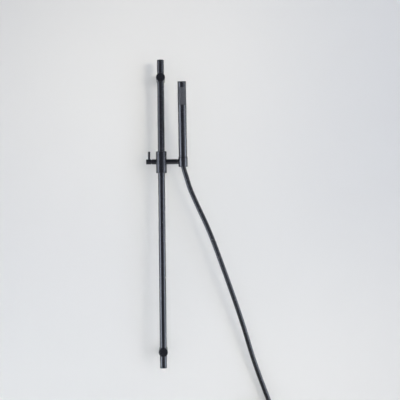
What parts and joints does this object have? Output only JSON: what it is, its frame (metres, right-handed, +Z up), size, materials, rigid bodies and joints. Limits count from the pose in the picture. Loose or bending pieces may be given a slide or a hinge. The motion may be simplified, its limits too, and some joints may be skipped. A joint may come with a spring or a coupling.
{
  "type": "shower slide rail",
  "caption": "Round wall-mounted shower rail with post brackets, a sliding lever clamp with side arm, a tilting cone holder, a slim hand shower and its hose.",
  "frame": {"origin": "on the wall plane, midway between the two wall fixings", "axes": "+Z up along the rail, +Y into the wall, +X to the right for someone facing the wall"},
  "size_m": [0.3894, 0.1108, 1.1837],
  "materials": {
    "black_metal": "satin black lacquer",
    "spray_metal": "blasted dark grey lacquer",
    "steel": "plain turned",
    "brass": "plain turned",
    "nylon": "moulded",
    "silicone": "soft matt",
    "hose_skin": "smooth satin black",
    "tie_strap": "matt black strap"
  },
  "bodies": {
    "rail": {"rail_tube": "black_metal", "rail_cap_top": "black_metal", "rail_cap_bottom": "black_metal", "upper_post": "black_metal", "upper_wall_spigot": "steel", "upper_lock_screw": "steel", "upper_rail_screw": "steel", "upper_rail_pad": "nylon", "lower_post": "black_metal", "lower_wall_spigot": "steel", "lower_lock_screw": "steel", "lower_rail_screw": "steel", "lower_rail_pad": "nylon"},
    "carriage": {"slider_liner_upper": "nylon", "slider_liner_lower": "nylon"},
    "slider": {"slider_sleeve": "black_metal", "clamp_collar": "black_metal", "clamp_washer": "nylon", "holder_arm": "black_metal", "tilt_stop_screw": "steel", "pivot_washer": "nylon", "hose_tube": "hose_skin", "hose_coil": "hose_skin", "hose_tail": "hose_skin", "hose_tie": "tie_strap", "inlet_ferrule": "black_metal", "inlet_washer": "silicone"},
    "clamp": {"clamp_knob": "black_metal", "clamp_spindle": "steel", "clamp_lever": "black_metal"},
    "shoe": {"brake_shoe": "nylon"},
    "holder": {"holder_cup": "black_metal", "pivot_rings": "silicone", "cone_nut": "black_metal", "hose_ferrule": "brass", "hose_washer": "silicone", "handset_connector": "black_metal", "check_valve": "nylon", "handset_body": "black_metal", "handset_top_cap": "black_metal", "spray_core": "nylon", "nozzle_mat": "silicone", "spray_plate": "spray_metal"},
    "nut": {"inlet_nut": "black_metal"}
  },
  "joints": [
    {"name": "rail_slide", "type": "slide", "parent": "rail", "child": "carriage", "axis": [0, 0, 1], "range_m": [-0.507, 0.201]},
    {"name": "slider_swivel", "type": "hinge", "parent": "carriage", "child": "slider", "pos_m": [0, -0.055, 0.1542], "axis": [0, 0, 1], "range_deg": [-172, 3]},
    {"name": "holder_tilt", "type": "hinge", "parent": "slider", "child": "holder", "pos_m": [0.0634, -0.05854, 0.1542], "axis": [0.9984, -0.0558, 0], "range_deg": [-10, 50], "deforming": ["hose_tube"]},
    {"name": "clamp_turn", "type": "hinge", "parent": "slider", "child": "clamp", "pos_m": [0, -0.055, 0.1542], "axis": [-0.9984, 0.0558, 0], "range_deg": [0, 180]},
    {"name": "shoe_travel", "type": "slide", "parent": "slider", "child": "shoe", "axis": [-0.9984, 0.0558, 0], "range_m": [0, 0.00063]},
    {"name": "inlet_nut_spin", "type": "hinge", "parent": "slider", "child": "nut", "pos_m": [0.18805, -0.03927, -0.71911], "axis": [-1, 0, 0], "continuous": true}
  ],
  "couplings": [
    {"joint": "shoe_travel", "follows": "clamp_turn", "m_per_rad": 0.00019894}
  ]
}
